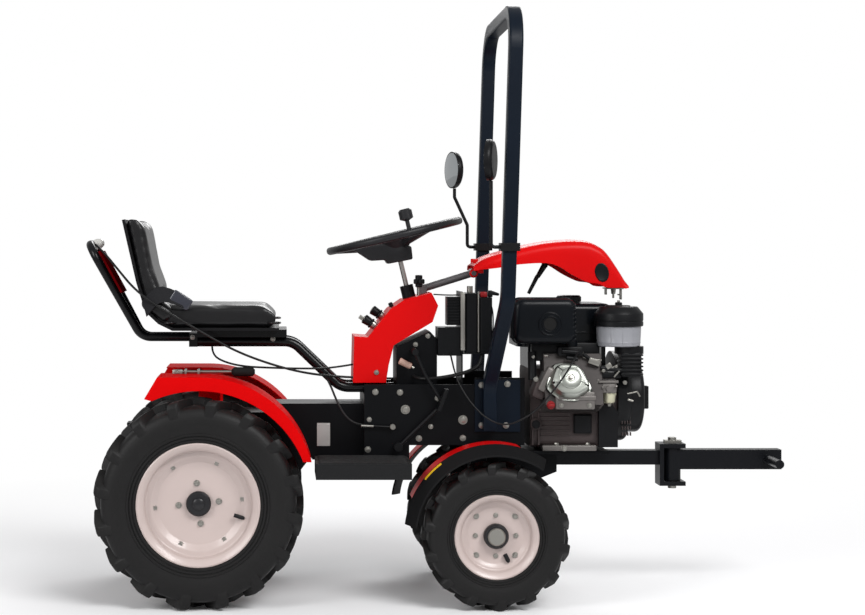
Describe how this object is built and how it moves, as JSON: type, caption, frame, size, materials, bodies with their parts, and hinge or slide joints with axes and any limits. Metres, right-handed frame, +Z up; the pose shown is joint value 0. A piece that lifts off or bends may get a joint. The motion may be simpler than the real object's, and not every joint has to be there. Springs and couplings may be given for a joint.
{
  "type": "mini tractor",
  "caption": "Compact ride-on tractor with a front petrol engine, safety hoop, lugged tyres, steered front wheels, hinged hood and a swinging front drawbar.",
  "frame": {"origin": "on the ground, midway along the length and the width of the machine", "axes": "+X forward in the driving direction, +Y to the driver's left, +Z up"},
  "size_m": [1.99, 0.747, 1.6494],
  "materials": {
    "frame_black": "gloss powder coat",
    "body_red": "gloss paint",
    "rim_white": "satin paint",
    "tyre_rubber": "moulded rubber",
    "soft_rubber": "matt rubber",
    "seat_vinyl": "grained vinyl",
    "black_plastic": "moulded plastic",
    "engine_metal": "dark cast surface",
    "silencer_steel": "heat-proof paint",
    "tank_paint": "gloss paint",
    "bright_steel": "zinc plated",
    "swing_paint": "gloss paint",
    "clear_bowl": "clear moulding",
    "reflector_red": "prismatic moulding"
  },
  "bodies": {
    "chassis": {"battery": "black_plastic", "battery_bracket": "frame_black", "carburettor": "engine_metal", "cleaner_bowl": "clear_bowl", "cleaner_cap": "black_plastic", "cleaner_neck": "black_plastic", "column_collar": "frame_black", "console": "body_red", "console_controls": "black_plastic", "console_frame": "frame_black", "control_boxes": "black_plastic", "crankcase": "engine_metal", "cylinder_block": "engine_metal", "engine_bed": "frame_black", "fan_housing": "black_plastic", "footboards": "frame_black", "front_axle": "frame_black", "front_drawbar": "frame_black", "fuel_tank": "tank_paint", "gearbox": "frame_black", "guard_loop": "frame_black", "hood_stay": "bright_steel", "lift_lever": "black_plastic", "mirrors": "black_plastic", "pedal": "black_plastic", "pull_starter": "black_plastic", "rear_hitch": "frame_black", "rear_lights": "reflector_red", "rear_wings": "body_red", "safety_hoop": "frame_black", "seat_backrest": "seat_vinyl", "seat_base": "frame_black", "seat_cushion": "seat_vinyl", "seat_rails": "frame_black", "seat_shell": "black_plastic", "side_plates": "frame_black", "silencer": "silencer_steel", "spine_frame": "frame_black", "swing_pin": "bright_steel", "valve_cover": "bright_steel"},
    "steering": {"steering_wheel": "black_plastic", "steering_shaft": "bright_steel"},
    "hood": {"hood": "body_red"},
    "swing_bar": {"swing_bar": "swing_paint"},
    "knuckle_right": {"knuckle_right": "frame_black", "front_guard_right": "body_red", "guard_lip_right": "soft_rubber"},
    "knuckle_left": {"knuckle_left": "frame_black", "front_guard_left": "body_red", "guard_lip_left": "soft_rubber"},
    "tie_rod": {"tie_rod": "bright_steel"},
    "rear_wheel_right": {"rear_tyre_right": "tyre_rubber", "rear_rim_right": "rim_white"},
    "rear_wheel_left": {"rear_tyre_left": "tyre_rubber", "rear_rim_left": "rim_white"},
    "front_wheel_right": {"front_tyre_right": "tyre_rubber", "front_rim_right": "rim_white"},
    "front_wheel_left": {"front_tyre_left": "tyre_rubber", "front_rim_left": "rim_white"}
  },
  "joints": [
    {"name": "rear_wheel_right_spin", "type": "hinge", "parent": "chassis", "child": "rear_wheel_right", "pos_m": [-0.663, -0.275, 0.286], "axis": [0, 1, 0], "continuous": true},
    {"name": "rear_wheel_left_spin", "type": "hinge", "parent": "chassis", "child": "rear_wheel_left", "pos_m": [-0.663, 0.275, 0.286], "axis": [0, 1, 0], "continuous": true},
    {"name": "knuckle_right_steer", "type": "hinge", "parent": "chassis", "child": "knuckle_right", "pos_m": [0.143, -0.205, 0.268], "axis": [0, 0, 1], "range_deg": [-25, 25]},
    {"name": "knuckle_left_steer", "type": "hinge", "parent": "chassis", "child": "knuckle_left", "pos_m": [0.143, 0.205, 0.268], "axis": [0, 0, 1], "range_deg": [-25, 25]},
    {"name": "tie_rod_pivot", "type": "hinge", "parent": "knuckle_left", "child": "tie_rod", "pos_m": [0.051, 0.205, 0.317], "axis": [0, 0, 1], "range_deg": [-25, 25]},
    {"name": "steering_turn", "type": "hinge", "parent": "chassis", "child": "steering", "pos_m": [-0.113, 0, 1.015], "axis": [-0.2334, 0, 0.9724], "range_deg": [-300, 300]},
    {"name": "front_wheel_right_spin", "type": "hinge", "parent": "knuckle_right", "child": "front_wheel_right", "pos_m": [0.143, -0.2875, 0.2], "axis": [0, 1, 0], "continuous": true},
    {"name": "front_wheel_left_spin", "type": "hinge", "parent": "knuckle_left", "child": "front_wheel_left", "pos_m": [0.143, 0.2875, 0.2], "axis": [0, 1, 0], "continuous": true},
    {"name": "hood_hinge", "type": "hinge", "parent": "chassis", "child": "hood", "pos_m": [0.112, 0, 0.908], "axis": [0, -1, 0], "range_deg": [0, 55]},
    {"name": "swing_pivot", "type": "hinge", "parent": "chassis", "child": "swing_bar", "pos_m": [0.686, 0, 0.374], "axis": [0, 0, 1], "range_deg": [-20, 20]}
  ],
  "couplings": [
    {"joint": "knuckle_left_steer", "follows": "knuckle_right_steer", "ratio": 1},
    {"joint": "tie_rod_pivot", "follows": "knuckle_right_steer", "ratio": -1},
    {"joint": "steering_turn", "follows": "knuckle_right_steer", "ratio": 12}
  ]
}
